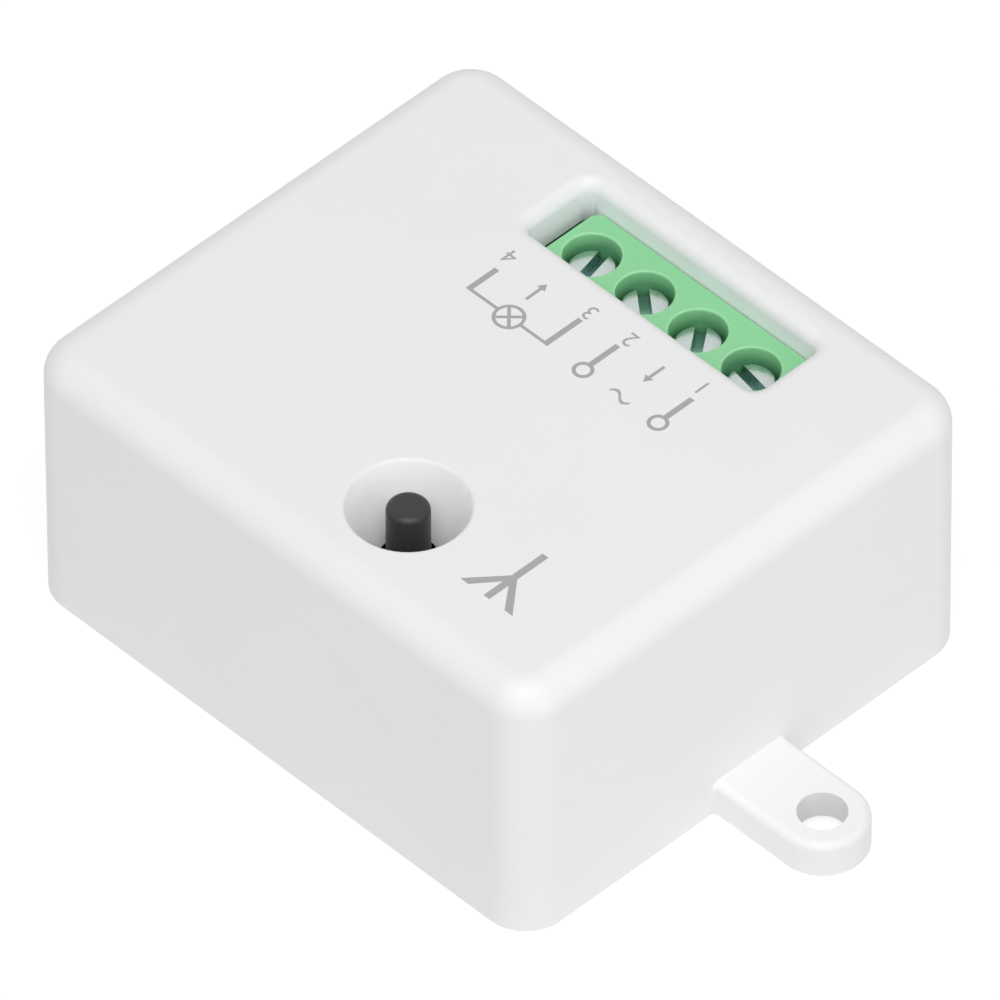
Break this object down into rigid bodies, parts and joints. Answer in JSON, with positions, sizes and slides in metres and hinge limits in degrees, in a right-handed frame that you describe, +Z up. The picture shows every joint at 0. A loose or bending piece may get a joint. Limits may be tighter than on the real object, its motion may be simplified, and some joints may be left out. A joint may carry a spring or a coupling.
{
  "type": "smart relay module",
  "caption": "White boxed relay module with fixing ears, a recessed push button and a green screw terminal under a window, for switching one mains load by radio.",
  "frame": {"origin": "middle of the box on its mounting plane", "axes": "+X towards a fixing ear, +Y towards the wire entries, +Z up through the button and the screws"},
  "size_m": [0.0684, 0.042, 0.0223],
  "materials": {
    "white_plastic": "fine satin moulding",
    "green_plastic": "satin moulding",
    "zinc_steel": "bright zinc plating",
    "brass": "plain",
    "silver_contact": "polished",
    "black_plastic": "satin moulding",
    "tinned_metal": "bright tin plating",
    "board_laminate": "solder resist",
    "blue_plastic": "moulded",
    "soft_iron": "dull nickel plating",
    "cream_plastic": "moulded",
    "copper_wire": "enamelled copper",
    "ferrite": "ground",
    "yellow_tape": "polyester tape",
    "capacitor_sleeve": "shrink sleeve",
    "blue_epoxy": "dipped coating",
    "tan_ceramic": "lacquered",
    "chip_epoxy": "moulded",
    "grey_ink": "pad-printed ink"
  },
  "bodies": {
    "module": {"housing": "white_plastic", "base_plate": "white_plastic", "terminal_housing": "green_plastic", "terminal_contacts": "brass", "switch_dome": "brass", "relay_fixed_contact": "brass", "switch_body": "black_plastic", "relay_base": "black_plastic", "transformer_former": "black_plastic", "switch_cover": "tinned_metal", "switch_legs": "tinned_metal", "relay_pins": "tinned_metal", "transformer_pins": "tinned_metal", "capacitor_leads": "tinned_metal", "protection_leads": "tinned_metal", "chip_legs": "tinned_metal", "crystal": "tinned_metal", "crystal_leads": "tinned_metal", "circuit_board": "board_laminate", "relay_cover": "blue_plastic", "relay_yoke": "soft_iron", "relay_core": "soft_iron", "relay_bobbin": "cream_plastic", "relay_coil": "copper_wire", "antenna_coil": "copper_wire", "transformer_core": "ferrite", "transformer_winding": "yellow_tape", "mains_capacitor": "capacitor_sleeve", "output_capacitor": "capacitor_sleeve", "varistor": "blue_epoxy", "fuse_resistor": "tan_ceramic", "bridge_rectifier": "chip_epoxy", "power_chip": "chip_epoxy", "control_chip": "chip_epoxy", "radio_chip": "chip_epoxy", "flyback_diode": "chip_epoxy", "driver_transistor": "chip_epoxy", "chip_resistors": "chip_epoxy"},
    "button": {"button_stem": "black_plastic"},
    "screw_1": {"terminal_screw_1": "zinc_steel"},
    "clamp_1": {"clamp_cage_1": "zinc_steel"},
    "screw_2": {"terminal_screw_2": "zinc_steel"},
    "clamp_2": {"clamp_cage_2": "zinc_steel"},
    "screw_3": {"terminal_screw_3": "zinc_steel"},
    "clamp_3": {"clamp_cage_3": "zinc_steel"},
    "screw_4": {"terminal_screw_4": "zinc_steel"},
    "clamp_4": {"clamp_cage_4": "zinc_steel"},
    "armature": {"relay_armature": "soft_iron", "relay_contact_spring": "brass", "relay_moving_contact": "silver_contact"}
  },
  "joints": [
    {"name": "button_press", "type": "slide", "parent": "module", "child": "button", "axis": [0, 0, -1], "range_m": [0, 0.00025], "stiffness_N_per_m": 300, "springref_m": -0.005},
    {"name": "screw_1_turn", "type": "hinge", "parent": "module", "child": "screw_1", "pos_m": [-0.00527, 0.01405, 0.017], "axis": [0, 0, -1], "range_deg": [0, 1620]},
    {"name": "clamp_1_lift", "type": "slide", "parent": "module", "child": "clamp_1", "axis": [0, 0, 1], "range_m": [0, 0.00202]},
    {"name": "screw_2_turn", "type": "hinge", "parent": "module", "child": "screw_2", "pos_m": [-0.00019, 0.01405, 0.017], "axis": [0, 0, -1], "range_deg": [0, 1620]},
    {"name": "clamp_2_lift", "type": "slide", "parent": "module", "child": "clamp_2", "axis": [0, 0, 1], "range_m": [0, 0.00202]},
    {"name": "screw_3_turn", "type": "hinge", "parent": "module", "child": "screw_3", "pos_m": [0.00489, 0.01405, 0.017], "axis": [0, 0, -1], "range_deg": [0, 1620]},
    {"name": "clamp_3_lift", "type": "slide", "parent": "module", "child": "clamp_3", "axis": [0, 0, 1], "range_m": [0, 0.00202]},
    {"name": "screw_4_turn", "type": "hinge", "parent": "module", "child": "screw_4", "pos_m": [0.00997, 0.01405, 0.017], "axis": [0, 0, -1], "range_deg": [0, 1620]},
    {"name": "clamp_4_lift", "type": "slide", "parent": "module", "child": "clamp_4", "axis": [0, 0, 1], "range_m": [0, 0.00202]},
    {"name": "armature_swing", "type": "hinge", "parent": "module", "child": "armature", "pos_m": [0.0049, -0.00331, 0.01615], "axis": [0, 1, 0], "range_deg": [0, 3], "stiffness_Nm_per_rad": 0.02, "springref_deg": -5.73}
  ],
  "couplings": [
    {"joint": "screw_1_turn", "follows": "clamp_1_lift", "rad_per_m": 13963},
    {"joint": "screw_2_turn", "follows": "clamp_2_lift", "rad_per_m": 13963},
    {"joint": "screw_3_turn", "follows": "clamp_3_lift", "rad_per_m": 13963},
    {"joint": "screw_4_turn", "follows": "clamp_4_lift", "rad_per_m": 13963}
  ]
}
